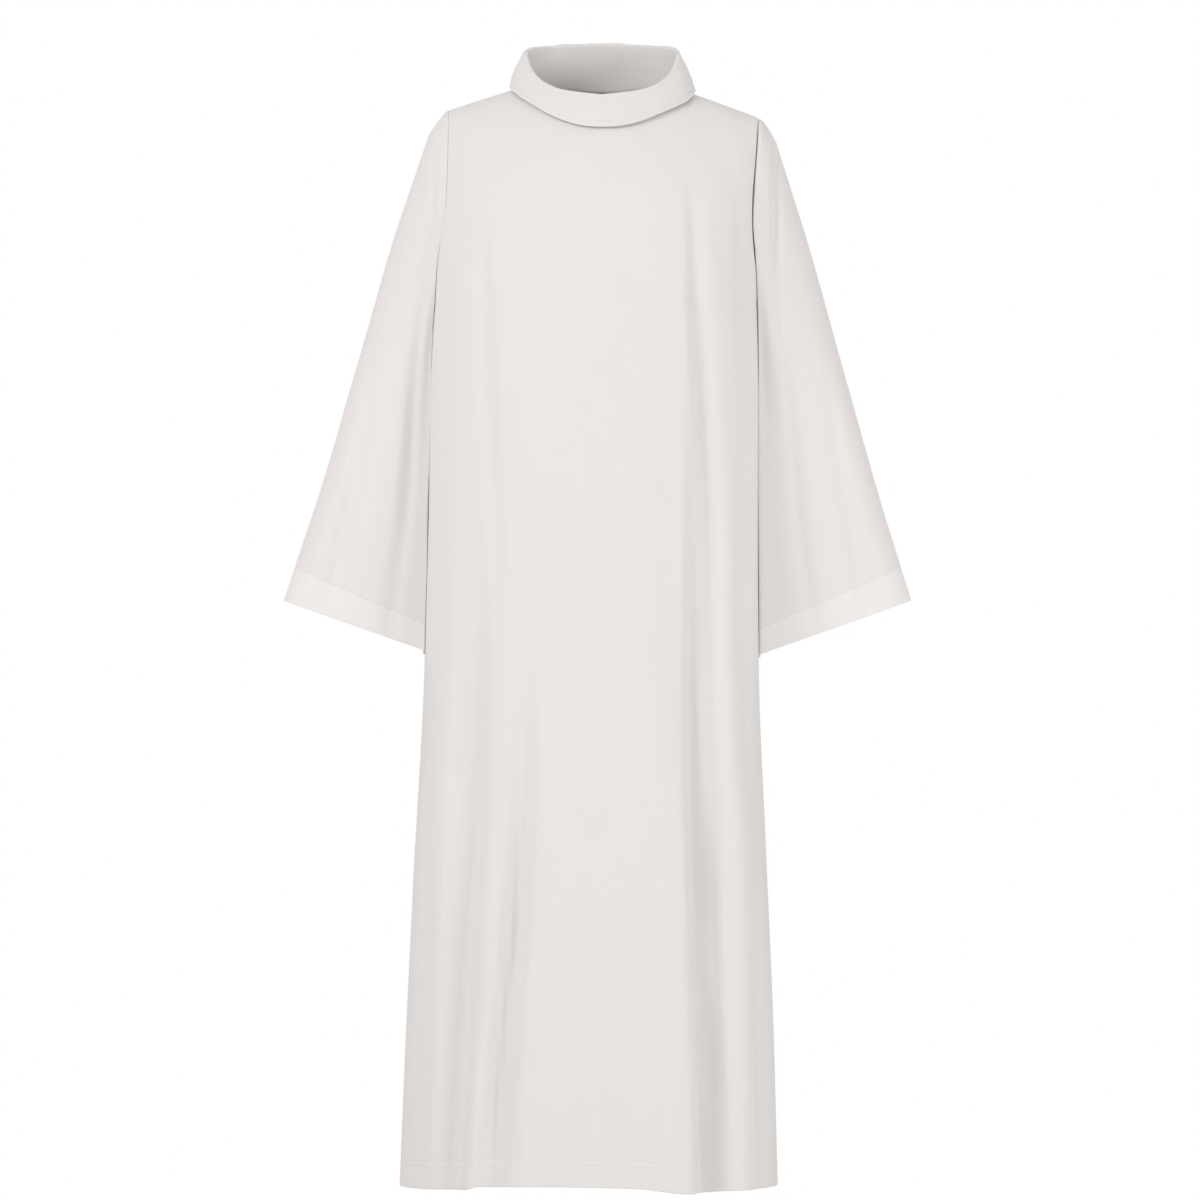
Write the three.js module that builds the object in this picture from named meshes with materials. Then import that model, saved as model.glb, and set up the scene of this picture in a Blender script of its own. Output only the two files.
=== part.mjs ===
// Alb robe: a long off-white liturgical robe in its worn, hollow form, with set-in bell sleeves
// and a loose collar that folds over on itself.
// Millimetres. +Z up, -Y is the front, +X is to the right of someone who faces the front.
// The origin is between the shoulders, level with the sides of the neck edge.
//
// Every panel is a thin wall. Its outer face follows a form worked out from the tables below,
// and its inner face lies one cloth thickness inside.

import * as THREE from 'three';

// ---- Driving sizes -------------------------------------------------------------------------

const CLOTH = 2; // wall of a panel
const SEAM_GAP = 0.3; // between the faces of two sewn pieces
const ARMHOLE_GAP = 0.85; // from a panel's edge to the first ring of a sleeve
const HEM = -1438; // height of the bottom edge

// Level sections of the body. left, right, front and back are its reaches from the origin's
// upright line, and square is the exponent of its rounded outline (2 is an ellipse).
const BODY_LEVELS = [
  { z: 0, left: 237, right: 246, front: 116, back: 116, square: 2.5 },
  { z: -60, left: 229, right: 233, front: 125, back: 125, square: 2.5 },
  { z: -120, left: 227, right: 222, front: 132, back: 132, square: 2.5 },
  { z: -206, left: 231, right: 214, front: 138, back: 134, square: 2.5 },
  { z: -290, left: 230, right: 211, front: 140, back: 135, square: 2.5 },
  { z: -400, left: 230, right: 209, front: 141, back: 134, square: 2.5 },
  { z: -560, left: 231, right: 207, front: 143, back: 136, square: 2.5 },
  { z: -747, left: 234, right: 207, front: 148, back: 142, square: 2.45 },
  { z: -985, left: 246, right: 216, front: 160, back: 156, square: 2.4 },
  { z: -1222, left: 258, right: 226, front: 176, back: 174, square: 2.35 },
  { z: -1438, left: 267, right: 232, front: 191, back: 190, square: 2.3 },
];

// The shoulder line, seen from the front: a blunt roof that is tilted a little.
const SHOULDER = { neckX: 121, neckZ: 2, slope: 0.36, round: 50, tilt: 0.02 };
// How far below the shoulder line each panel reaches its full depth.
const SHOULDER_FALL = { front: 250, back: 150 };
// The neck edge: half width, and the heights of its middle on the two panels.
const NECK = { halfWidth: 116, frontZ: -38, backZ: 2, curve: 2.5 };
// The armhole leaves the shoulder line at this turn, runs straight down and then curves out
// to the side seam. Turns are in degrees from the middle of the front or the back.
const ARMHOLE = { turn: 70, straightTo: -140, underarm: -288 };

// Soft upright folds of the body. turn is measured from the middle of the front, plus to the
// right, at the fold's top and at the hem. from is the height where it starts and full where
// it is fully formed, depth is plus for a ridge and minus for a trough, width is its half
// width in degrees, and lean carries its crest sideways.
const BODY_FOLDS = [
  { name: 'left_valley', top: -56, hem: -49, from: -150, full: -1300, depth: -26, width: 9, lean: -6 },
  { name: 'left_crest', top: -44, hem: -39, from: -560, full: -1438, depth: 12, width: 9, lean: -6 },
  { name: 'front_left', top: -30, hem: -41, from: -860, full: -1438, depth: -8, width: 9, lean: 0 },
  { name: 'front_right_crest', top: 30, hem: 30, from: -500, full: -1300, depth: 9, width: 10, lean: 3 },
  { name: 'right_valley', top: 47, hem: 41, from: -220, full: -1100, depth: -30, width: 8, lean: 6 },
  { name: 'right_crest', top: 60, hem: 54, from: -300, full: -1200, depth: 10, width: 10, lean: 0 },
  { name: 'left_side', top: -104, hem: -104, from: -640, full: -1438, depth: -18, width: 11, lean: 0 },
  { name: 'right_side', top: 106, hem: 106, from: -640, full: -1438, depth: -20, width: 11, lean: 0 },
  { name: 'back_left', top: -132, hem: -136, from: -330, full: -1350, depth: -24, width: 10, lean: 0 },
  { name: 'back_middle_left', top: -160, hem: -163, from: -520, full: -1438, depth: -14, width: 9, lean: 0 },
  { name: 'back_middle_right', top: 166, hem: 168, from: -420, full: -1438, depth: -18, width: 9, lean: 0 },
  { name: 'back_right', top: 136, hem: 139, from: -360, full: -1350, depth: -22, width: 10, lean: 0 },
];

// The open end of each sleeve, a flattened ring between an outer tip and an inner end that is
// beside the body, and how far the sleeve's outer line stands out at its head.
const SLEEVES = [
  { name: 'sleeve_left', side: -1, tip: [-420, 4, -668], inner: [-228, 50, -736], halfDepth: 50, head: 15 },
  { name: 'sleeve_right', side: 1, tip: [408, 4, -668], inner: [206, 50, -740], halfDepth: 50, head: 13 },
];
const SLEEVE_CLEAR = 4; // between a hanging sleeve and the body
// Where the sleeve's rings lie, as shares of the way from the armhole to the cuff.
const SLEEVE_RINGS = [0, 0.025, 0.06, 0.13, 0.22, 0.34, 0.48, 0.64, 0.82, 1];
// Long folds of a sleeve. around is a share of the way round, from the shoulder over the front.
const SLEEVE_FOLDS = [
  { name: 'front_inner', around: 0.33, from: 0.03, full: 0.3, depth: -9, width: 0.07 },
  { name: 'front_outer', around: 0.17, from: 0.3, full: 0.9, depth: -5, width: 0.07 },
  { name: 'back_inner', around: 0.68, from: 0.03, full: 0.3, depth: -9, width: 0.07 },
  { name: 'back_outer', around: 0.83, from: 0.25, full: 0.9, depth: -6, width: 0.07 },
];

// The collar's rolled top edge: its height at a turn from the middle of the front.
const COLLAR_RIM = [
  { turn: 0, z: -4 },
  { turn: 30, z: 3 },
  { turn: 45, z: 11 },
  { turn: 60, z: 24 },
  { turn: 75, z: 41 },
  { turn: 90, z: 55 },
  { turn: 110, z: 62 },
  { turn: 140, z: 67 },
  { turn: 180, z: 71 },
];
// The rim's reaches, the inside width of its roll, and how the fall lies over the neck seam.
const COLLAR = { halfWidth: 101, front: 74, back: 68, roll: 4, overlap: 8, clear: 3.4 };

// Rows and columns of the panels' faces.
const NECK_COLUMNS = { front: 18, back: 14 };
const SHOULDER_COLUMNS = { front: 11, back: 9 };
const SHOULDER_ROWS = { front: 10, back: 9 };
const SKIRT_ROWS = {
  front: [ARMHOLE.underarm, -345, -430, -540, -660, -780, -900, -1040, -1170, -1310, HEM],
  back: [-205, -245, ARMHOLE.underarm, -360, -460, -580, -720, -870, -1020, -1170, -1310, HEM],
};
// Each panel is one cut of cloth, parted level into three solids. These rows part them.
const PARTED_AT = { front: [-430, -900], back: [-460, -870] };
const PART_NAMES = ['upper', 'middle', 'lower'];

const IVORY = { color: 0xece8e3, roughness: 0.85, metalness: 0 };

// ---- Small helpers ---------------------------------------------------------------------------

const radians = THREE.MathUtils.degToRad;
const degrees = THREE.MathUtils.radToDeg;
const { clamp, lerp, smoothstep } = THREE.MathUtils;

// A smooth curve through one column of a table, with no overshoot between its rows.
function curveThrough(rows, by, column) {
  const sorted = [...rows].sort((a, b) => a[by] - b[by]);
  const at = sorted.map((row) => row[by]);
  const value = sorted.map((row) => row[column]);
  const slope = at.slice(1).map((x, i) => (value[i + 1] - value[i]) / (x - at[i]));
  const tangent = at.map((_, i) => {
    const before = slope[Math.max(i - 1, 0)];
    const after = slope[Math.min(i, slope.length - 1)];
    return before * after <= 0 ? 0 : (2 * before * after) / (before + after);
  });
  return (x) => {
    const within = clamp(x, at[0], at[at.length - 1]);
    const i = clamp(at.findIndex((edge) => edge >= within) - 1, 0, slope.length - 1);
    const span = at[i + 1] - at[i];
    const t = (within - at[i]) / span;
    const rise = value[i + 1] - value[i];
    return (
      value[i] +
      rise * t * t * (3 - 2 * t) +
      span * (tangent[i] * t * (1 - t) ** 2 - tangent[i + 1] * t * t * (1 - t))
    );
  };
}

// A soft bump: 1 in its middle, 0 at one width away.
function bump(distance, width) {
  const t = Math.abs(distance) / width;
  return t >= 1 ? 0 : (1 + Math.cos(Math.PI * t)) / 2;
}

function shortTurn(from, to) {
  return ((to - from + 540) % 360) - 180;
}

// ---- The body's form -------------------------------------------------------------------------

const bodyReach = Object.fromEntries(
  ['left', 'right', 'front', 'back', 'square'].map((column) => [
    column,
    curveThrough(BODY_LEVELS, 'z', column),
  ]),
);

// How far the folds carry the body's outline out, and sideways, at a turn and a height.
function bodyFold(turn, z) {
  let out = 0;
  let along = 0;
  for (const fold of BODY_FOLDS) {
    const grown = smoothstep(-z, -fold.from, -fold.full);
    const share = clamp((z - fold.from) / (HEM - fold.from), 0, 1);
    const middle = lerp(fold.top, fold.hem, share);
    const here = grown * bump(shortTurn(middle, degrees(turn)), fold.width);
    out += fold.depth * here;
    along += fold.lean * here;
  }
  return { out, along };
}

// The body's level outline, before the shoulders round it in. turn 0 is the middle of the front.
function bodyOutline(turn, z) {
  const sine = Math.sin(turn);
  const cosine = Math.cos(turn);
  const side = sine >= 0 ? bodyReach.right(z) : bodyReach.left(z);
  const depth = cosine >= 0 ? bodyReach.front(z) : bodyReach.back(z);
  const square = bodyReach.square(z);
  const { out, along } = bodyFold(turn, z);
  const radius =
    ((Math.abs(sine) / side) ** square + (Math.abs(cosine) / depth) ** square) ** (-1 / square) + out;
  return { x: radius * sine + along * cosine, y: -radius * cosine + along * sine };
}

function shoulderLine(x) {
  const blunt = (width) => Math.hypot(width, SHOULDER.round);
  return SHOULDER.neckZ + SHOULDER.slope * (blunt(SHOULDER.neckX) - blunt(x)) - SHOULDER.tilt * x;
}

// A point of the outer face. lean is the angle of the shoulder's round: 0 on the shoulder line
// and a right angle where the panel has its full depth; drop is the way down from there.
function shoulderPoint(panel, turn, lean) {
  const fall = SHOULDER_FALL[panel] * (1 - Math.cos(lean));
  let z = 0;
  for (let pass = 0; pass < 6; pass += 1) {
    z = shoulderLine(bodyOutline(turn, z).x) - fall;
  }
  const outline = bodyOutline(turn, z);
  return new THREE.Vector3(outline.x, outline.y * Math.sin(lean), z);
}

function skirtPoint(turn, z) {
  const outline = bodyOutline(turn, z);
  return new THREE.Vector3(outline.x, outline.y, z);
}

// The turn at which the shoulder line is as far out as the neck edge.
function neckTurn(panel, side) {
  let low = 0;
  let high = radians(ARMHOLE.turn);
  for (let pass = 0; pass < 40; pass += 1) {
    const middle = (low + high) / 2;
    const reach = Math.abs(shoulderPoint(panel, panelTurn(panel, side * middle), 0).x);
    if (reach < NECK.halfWidth) low = middle;
    else high = middle;
  }
  return (low + high) / 2;
}

// A turn from the middle of a panel, as a turn from the middle of the front.
function panelTurn(panel, turn) {
  return panel === 'front' ? turn : Math.PI - turn;
}

// The lean at which a column starts: 0 at the shoulder seam, more along the neck edge.
function topLean(panel, turn, neckSide) {
  const share = Math.abs(turn) / neckSide;
  if (share >= 1) return 0;
  const line = shoulderLine(shoulderPoint(panel, panelTurn(panel, turn), 0).x);
  const middle = panel === 'front' ? NECK.frontZ : NECK.backZ;
  const z = lerp(middle, line, share ** NECK.curve);
  return Math.acos(1 - (line - z) / SHOULDER_FALL[panel]);
}

// The panel's edge beside the sleeve, as a turn: straight, then out to the side seam.
function edgeTurn(z) {
  const share = clamp((ARMHOLE.straightTo - z) / (ARMHOLE.straightTo - ARMHOLE.underarm), 0, 1);
  const curve = 1 - Math.sqrt(1 - share * share);
  return radians(lerp(ARMHOLE.turn, 90, curve));
}

// ---- Walls -----------------------------------------------------------------------------------

// Normals of a grid of points. ring joins its last column to its first.
function gridNormals(grid, ring) {
  const last = grid[0].length - 1;
  return grid.map((row, r) =>
    row.map((_, c) => {
      const before = ring ? (c + last) % (last + 1) : Math.max(c - 1, 0);
      const after = ring ? (c + 1) % (last + 1) : Math.min(c + 1, last);
      const across = row[after].clone().sub(row[before]);
      const up = grid[Math.max(r - 1, 0)][c].clone().sub(grid[Math.min(r + 1, grid.length - 1)][c]);
      return across.cross(up).normalize();
    }),
  );
}

function offsetGrid(grid, normals, distance) {
  return grid.map((row, r) => row.map((point, c) => point.clone().addScaledVector(normals[r][c], distance)));
}

// One closed solid between an outer and an inner grid of the same size.
function wallGeometry(outer, inner, ring) {
  const rows = outer.length;
  const columns = outer[0].length;
  const faceCount = ring ? columns : columns - 1;
  const index = [];
  const at = (layer, r, c) => (layer * rows + r) * columns + (c % columns);
  const quad = (a, b, c, d) => index.push(a, b, c, a, c, d);
  for (let r = 0; r < rows - 1; r += 1) {
    for (let c = 0; c < faceCount; c += 1) {
      quad(at(0, r, c), at(0, r + 1, c), at(0, r + 1, c + 1), at(0, r, c + 1));
      quad(at(1, r, c), at(1, r, c + 1), at(1, r + 1, c + 1), at(1, r + 1, c));
    }
  }
  for (let c = 0; c < faceCount; c += 1) {
    quad(at(0, 0, c), at(0, 0, c + 1), at(1, 0, c + 1), at(1, 0, c));
    quad(at(0, rows - 1, c), at(1, rows - 1, c), at(1, rows - 1, c + 1), at(0, rows - 1, c + 1));
  }
  if (!ring) {
    for (let r = 0; r < rows - 1; r += 1) {
      quad(at(0, r, 0), at(1, r, 0), at(1, r + 1, 0), at(0, r + 1, 0));
      const end = columns - 1;
      quad(at(0, r, end), at(0, r + 1, end), at(1, r + 1, end), at(1, r, end));
    }
  }
  return meshGeometry([...outer.flat(), ...inner.flat()], index);
}

function meshGeometry(points, index) {
  const geometry = new THREE.BufferGeometry();
  geometry.setAttribute('position', new THREE.Float32BufferAttribute(points.flatMap((p) => p.toArray()), 3));
  geometry.setIndex(index);
  geometry.computeVertexNormals();
  return geometry;
}

function namedMesh(name, geometry) {
  const mesh = new THREE.Mesh(geometry, new THREE.MeshStandardMaterial(IVORY));
  mesh.name = name;
  return mesh;
}

// ---- Front and back panels ---------------------------------------------------------------------

// The panel's columns, from one side to the other, as shares of its edge turn. The neck
// points are columns of their own, so the neck edge is a whole number of columns.
function panelColumns(panel) {
  const edge = radians(ARMHOLE.turn);
  const left = neckTurn(panel, -1) / edge;
  const right = neckTurn(panel, 1) / edge;
  const outer = SHOULDER_COLUMNS[panel];
  const middle = NECK_COLUMNS[panel];
  const columns = [];
  for (let i = 0; i < outer; i += 1) columns.push(lerp(-1, -left, i / outer));
  for (let i = 0; i <= middle; i += 1) {
    columns.push(lerp(-left, right, (1 - Math.cos((Math.PI * i) / middle)) / 2));
  }
  for (let i = 1; i <= outer; i += 1) columns.push(lerp(right, 1, i / outer));
  return columns;
}

function buildPanel(panel) {
  const columns = panelColumns(panel);
  const edge = radians(ARMHOLE.turn);
  const shoulderRows = SHOULDER_ROWS[panel];
  const sign = panel === 'front' ? -1 : 1;
  const column = (share) => {
    const points = [];
    const neckSide = neckTurn(panel, Math.sign(share) || 1);
    const start = topLean(panel, share * edge, neckSide);
    let turn = share * edge;
    for (let r = 0; r <= shoulderRows; r += 1) {
      const lean = lerp(start, Math.PI / 2, r / shoulderRows);
      for (let pass = 0; pass < 4; pass += 1) {
        turn = share * edgeTurn(shoulderPoint(panel, panelTurn(panel, turn), lean).z);
      }
      points.push(shoulderPoint(panel, panelTurn(panel, turn), lean));
    }
    for (const z of SKIRT_ROWS[panel]) {
      points.push(skirtPoint(panelTurn(panel, share * edgeTurn(z)), z));
    }
    for (const point of points) point.y += (sign * SEAM_GAP) / 2;
    return points;
  };
  const byColumn = columns.map(column);
  const ordered = panel === 'front' ? byColumn : byColumn.reverse();
  const outer = ordered[0].map((_, r) => ordered.map((points) => points[r]));
  const normals = gridNormals(outer, false);
  squareSeams(panel, outer, normals);
  return { outer, normals, inner: offsetGrid(outer, normals, -CLOTH) };
}

// The closed walls of a panel, from the top. Each one below the first starts a seam gap lower.
function panelParts(name, panel) {
  let first = 0;
  return [...PARTED_AT[name], HEM].map((foot, i) => {
    const last = panel.outer.findIndex((row) => row[0].z <= foot + 1);
    const lowered = (row, r) => (i > 0 && r === 0 ? row.map((p) => p.clone().setZ(p.z - SEAM_GAP)) : row);
    const part = (grid) => grid.slice(first, last + 1).map(lowered);
    const geometry = wallGeometry(part(panel.outer), part(panel.inner), false);
    first = last;
    return namedMesh(`${name}_${PART_NAMES[i]}`, geometry);
  });
}

// Both panels end in the same upright plane at the shoulder and side seams, so they stay apart.
function squareSeams(panel, outer, normals) {
  const last = outer[0].length - 1;
  const seamColumns = SHOULDER_COLUMNS[panel];
  const flatten = (normal) => normal.setY(0).normalize();
  for (let c = 0; c <= seamColumns; c += 1) {
    flatten(normals[0][c]);
    flatten(normals[0][last - c]);
  }
  for (let r = 0; r < outer.length; r += 1) {
    if (outer[r][0].z <= ARMHOLE.underarm + 1) flatten(normals[r][0]);
    if (outer[r][last].z <= ARMHOLE.underarm + 1) flatten(normals[r][last]);
  }
}

// ---- Seam edges ------------------------------------------------------------------------------

// A point of a panel's edge: its place, the panel's normal there, and off, the direction that
// leads off the panel in its own surface.
function edgePoint(panel, r, c, along, inward) {
  const { outer, normals } = panel;
  const tangent = along[1].clone().sub(along[0]);
  const off = tangent.cross(normals[r][c]).normalize();
  if (off.dot(inward.clone().sub(outer[r][c])) > 0) off.negate();
  return { point: outer[r][c], normal: normals[r][c], off };
}

function between(a, b) {
  return {
    point: a.point.clone().add(b.point).multiplyScalar(0.5),
    normal: a.normal.clone().add(b.normal).normalize(),
    off: a.off.clone().add(b.off).normalize(),
  };
}

// Half an armhole, from the shoulder down to the underarm, along one side column of a panel.
function armholeHalf(panel, c) {
  const { outer } = panel;
  const inner = c === 0 ? 1 : c - 1;
  const under = outer.findIndex((row) => row[c].z <= ARMHOLE.underarm + 1);
  const points = [];
  for (let r = 0; r <= under; r += 1) {
    const along = [outer[Math.max(r - 1, 0)][c], outer[Math.min(r + 1, under)][c]];
    points.push(edgePoint(panel, r, c, along, outer[r][inner]));
  }
  return points;
}

// The whole armhole on one side, from the shoulder over the front, the underarm and the back.
function armhole(side) {
  const onFront = armholeHalf(front, side < 0 ? 0 : front.outer[0].length - 1);
  const onBack = armholeHalf(back, side < 0 ? back.outer[0].length - 1 : 0);
  const shoulder = between(onFront[0], onBack[0]);
  const underarm = between(onFront.at(-1), onBack.at(-1));
  underarm.off.set(0, 0, 1);
  return [shoulder, ...onFront.slice(1, -1), underarm, ...onBack.slice(1, -1).reverse()];
}

// Half the neck edge, along the top row of a panel.
function neckHalf(panel, name) {
  const { outer } = panel;
  const first = SHOULDER_COLUMNS[name];
  const last = first + NECK_COLUMNS[name];
  const points = [];
  for (let c = first; c <= last; c += 1) {
    const along = [outer[0][Math.max(c - 1, first)], outer[0][Math.min(c + 1, last)]];
    points.push(edgePoint(panel, 0, c, along, outer[1][c]));
  }
  return points;
}

function neckEdge() {
  const onFront = neckHalf(front, 'front');
  const onBack = neckHalf(back, 'back');
  const left = between(onFront[0], onBack.at(-1));
  const right = between(onFront.at(-1), onBack[0]);
  return [left, ...onFront.slice(1, -1), right, ...onBack.slice(1, -1)];
}

// ---- Sleeves ---------------------------------------------------------------------------------

// Moves a point of a sleeve out until it hangs clear of the body.
function clearOfBody(point, clear) {
  const panel = point.y < 0 ? 'front' : 'back';
  const drop = clamp((shoulderLine(point.x) - point.z) / SHOULDER_FALL[panel], 0.02, 1);
  const round = Math.sin(Math.acos(1 - drop));
  const flat = new THREE.Vector2(point.x, point.y / round);
  const turn = Math.atan2(flat.x, -flat.y);
  const fromMiddle = panel === 'front' ? Math.abs(turn) : Math.PI - Math.abs(turn);
  const outline = bodyOutline(turn, point.z);
  // Over the open armhole the push fades out towards the shoulder.
  const held = fromMiddle > edgeTurn(point.z) ? smoothstep(-point.z, 110, 200) : 1;
  const short = (Math.hypot(outline.x, outline.y) + clear) / flat.length() - 1;
  if (short > 0) point.set(point.x * (1 + short * held), point.y * (1 + short * held), point.z);
}

function buildSleeve(sleeve) {
  const edge = armhole(sleeve.side);
  const lengths = edge.map((p, i) => p.point.distanceTo(edge[(i + 1) % edge.length].point));
  const whole = lengths.reduce((sum, length) => sum + length, 0);
  const tip = new THREE.Vector3(...sleeve.tip);
  const middle = tip.clone().add(new THREE.Vector3(...sleeve.inner)).multiplyScalar(0.5);
  let walked = 0;
  const around = lengths.map((length) => {
    const share = walked / whole;
    walked += length;
    return share;
  });
  const ring = (share) =>
    edge.map((start, i) => {
      const turn = 2 * Math.PI * around[i];
      const end = middle.clone().addScaledVector(tip.clone().sub(middle), Math.cos(turn));
      end.y -= sleeve.halfDepth * Math.sin(turn);
      const point = start.point.clone().addScaledVector(start.off, ARMHOLE_GAP).lerp(end, share);
      const rise = Math.min(share / 0.05, 1) ** 0.6 * (1 - smoothstep(share, 0.2, 0.85));
      point.x += sleeve.side * sleeve.head * rise * Math.max(Math.cos(turn), 0);
      point.y -= sleeveFold(around[i], share) * Math.sin(turn);
      if (share > 0) clearOfBody(point, SLEEVE_CLEAR * Math.min(share / 0.025, 1));
      return point;
    });
  const order = (points) => (sleeve.side < 0 ? points : [points[0], ...points.slice(1).reverse()]);
  const outer = SLEEVE_RINGS.map((share) => order(ring(share)));
  const normals = gridNormals(outer, true);
  const inner = offsetGrid(outer, normals, -CLOTH);
  order(edge).forEach((start, i) => {
    const bend = normals[1][i].dot(start.off);
    const inward = start.normal.clone().negate();
    if (bend < 0) inward.sub(normals[1][i]).addScaledVector(start.off, 0.3).normalize();
    inner[0][i] = outer[0][i].clone().addScaledVector(inward, CLOTH);
  });
  return { outer, inner };
}

function sleeveFold(around, share) {
  return SLEEVE_FOLDS.reduce((sum, fold) => {
    const grown = smoothstep(share, fold.from, fold.full);
    return sum + fold.depth * grown * bump(around - fold.around, fold.width);
  }, 0);
}

// ---- Collar ----------------------------------------------------------------------------------

const rimHeight = curveThrough(COLLAR_RIM, 'turn', 'z');

// The collar's section at one point of the neck edge, from the foot of the stand's inner face,
// over the roll and down the fall, and back up under it to the foot of the stand.
function collarSection(start, next, before) {
  const outward = new THREE.Vector3().subVectors(next.point, before.point).setZ(0);
  outward.set(outward.y, -outward.x, 0).normalize();
  const up = new THREE.Vector3(0, 0, 1);
  const half = COLLAR.roll / 2;
  const foot = start.point.clone().addScaledVector(start.off, SEAM_GAP);
  const depth = start.point.y < 0 ? Math.abs(NECK_DEPTH.front) : NECK_DEPTH.back;
  const turn = Math.atan2(start.point.x / NECK.halfWidth, -start.point.y / depth);
  const reach = start.point.y < 0 ? COLLAR.front : COLLAR.back;
  const roll = new THREE.Vector3(
    COLLAR.halfWidth * Math.sin(turn),
    -reach * Math.cos(turn),
    rimHeight(Math.abs(degrees(turn))) - half - CLOTH,
  );
  const hang = start.point.clone().addScaledVector(start.off, -COLLAR.overlap);
  hang.addScaledVector(start.normal, COLLAR.clear);
  const from = (point, out, rise) => point.clone().addScaledVector(outward, out).addScaledVector(up, rise);
  const slant = half + CLOTH * 0.75;
  const halfway = (a, b, out) => from(a.clone().lerp(b, 0.5), out, 0);
  const standTop = from(roll, -half, 0);
  const standInnerTop = from(roll, -half - CLOTH, 0);
  const fallTop = from(roll, half + CLOTH, 0);
  const fallInnerTop = from(roll, half, 0);
  const footInner = from(foot, -CLOTH, 0);
  const hangOuter = from(hang, CLOTH, 0);
  return [
    footInner,
    halfway(footInner, standInnerTop, 0),
    standInnerTop,
    from(roll, -slant * 0.75, slant * 0.75),
    from(roll, 0, half + CLOTH),
    from(roll, slant * 0.75, slant * 0.75),
    fallTop,
    halfway(fallTop, hangOuter, 1.5),
    hangOuter,
    hang,
    halfway(fallInnerTop, hang, 1.5),
    fallInnerTop,
    from(roll, 0, half),
    standTop,
    halfway(standTop, foot, 0),
    foot,
  ];
}

function buildCollar() {
  const edge = neckEdge();
  const count = edge.length;
  const sections = edge.map((start, i) =>
    collarSection(start, edge[(i + 1) % count], edge[(i + count - 1) % count]),
  );
  const size = sections[0].length;
  const index = [];
  for (let i = 0; i < count; i += 1) {
    const after = (i + 1) % count;
    for (let k = 0; k < size; k += 1) {
      const above = (k + 1) % size;
      const [a, b, c, d] = [i * size + k, after * size + k, after * size + above, i * size + above];
      index.push(a, d, c, a, c, b);
    }
  }
  return meshGeometry(sections.flat(), index);
}

// ---- The robe --------------------------------------------------------------------------------

const front = buildPanel('front');
const back = buildPanel('back');
const NECK_DEPTH = { front: neckReach(front), back: neckReach(back) };

function neckReach(panel) {
  const middle = Math.floor(panel.outer[0].length / 2);
  return panel.outer[0][middle].y;
}

const robe = new THREE.Group();
robe.add(...panelParts('front', front), ...panelParts('back', back));
for (const sleeve of SLEEVES) {
  const { outer, inner } = buildSleeve(sleeve);
  robe.add(namedMesh(sleeve.name, wallGeometry(outer, inner, true)));
}
robe.add(namedMesh('collar', buildCollar()));

export default robe;
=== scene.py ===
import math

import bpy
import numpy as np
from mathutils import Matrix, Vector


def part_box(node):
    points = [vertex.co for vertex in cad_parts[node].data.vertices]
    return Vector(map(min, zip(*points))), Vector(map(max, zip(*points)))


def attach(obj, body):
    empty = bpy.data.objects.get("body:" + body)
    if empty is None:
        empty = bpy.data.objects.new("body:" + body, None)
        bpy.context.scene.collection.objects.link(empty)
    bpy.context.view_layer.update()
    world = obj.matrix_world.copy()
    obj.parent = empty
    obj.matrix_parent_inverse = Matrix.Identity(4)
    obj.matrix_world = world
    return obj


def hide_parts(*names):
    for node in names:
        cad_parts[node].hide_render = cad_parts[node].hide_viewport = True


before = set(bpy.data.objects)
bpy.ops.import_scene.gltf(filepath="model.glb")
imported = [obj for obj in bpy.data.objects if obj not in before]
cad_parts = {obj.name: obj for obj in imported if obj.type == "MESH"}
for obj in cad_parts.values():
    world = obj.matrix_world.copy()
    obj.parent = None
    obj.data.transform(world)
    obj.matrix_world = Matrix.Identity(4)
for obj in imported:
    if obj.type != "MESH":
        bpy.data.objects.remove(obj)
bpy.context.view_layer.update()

# Alb robe: a long off-white robe in its worn, hollow form, with set-in bell sleeves and a loose
# collar that folds over on itself. The tables are in millimetres and meshes are made in metres.
# +X is to the right of someone who faces the front, -Y is the front, +Z is up.

MM = 0.001

# ---- Driving sizes -----------------------------------------------------------------------------

# The outline, the neck, the armholes and the sleeves' ends are the same as the solids'. Some folds
# differ from the solids' in depth and place, and the sleeves' inner corner is added here.

SEAM_GAP = 0.3
HEM = round(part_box("front_lower")[0][2] / MM)

# Level sections: height, reaches to the left, right, front and back, and the outline's exponent.
BODY_LEVELS = [
    dict(z=0, left=237, right=246, front=116, back=116, square=2.5),
    dict(z=-60, left=229, right=233, front=125, back=125, square=2.5),
    dict(z=-120, left=227, right=222, front=132, back=132, square=2.5),
    dict(z=-206, left=231, right=214, front=138, back=134, square=2.5),
    dict(z=-290, left=230, right=211, front=140, back=135, square=2.5),
    dict(z=-400, left=230, right=209, front=141, back=134, square=2.5),
    dict(z=-560, left=231, right=207, front=143, back=136, square=2.5),
    dict(z=-747, left=234, right=207, front=148, back=142, square=2.45),
    dict(z=-985, left=246, right=216, front=160, back=156, square=2.4),
    dict(z=-1222, left=258, right=226, front=176, back=174, square=2.35),
    dict(z=-1438, left=267, right=232, front=191, back=190, square=2.3),
]
SHOULDER = dict(neck_x=121, neck_z=2, slope=0.36, round=50, tilt=0.02)
SHOULDER_FALL = dict(front=250, back=150)
NECK = dict(half_width=116, front_z=-38, back_z=2, curve=2.5)
ARMHOLE = dict(turn=70, straight_to=-140, underarm=-288)

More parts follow.
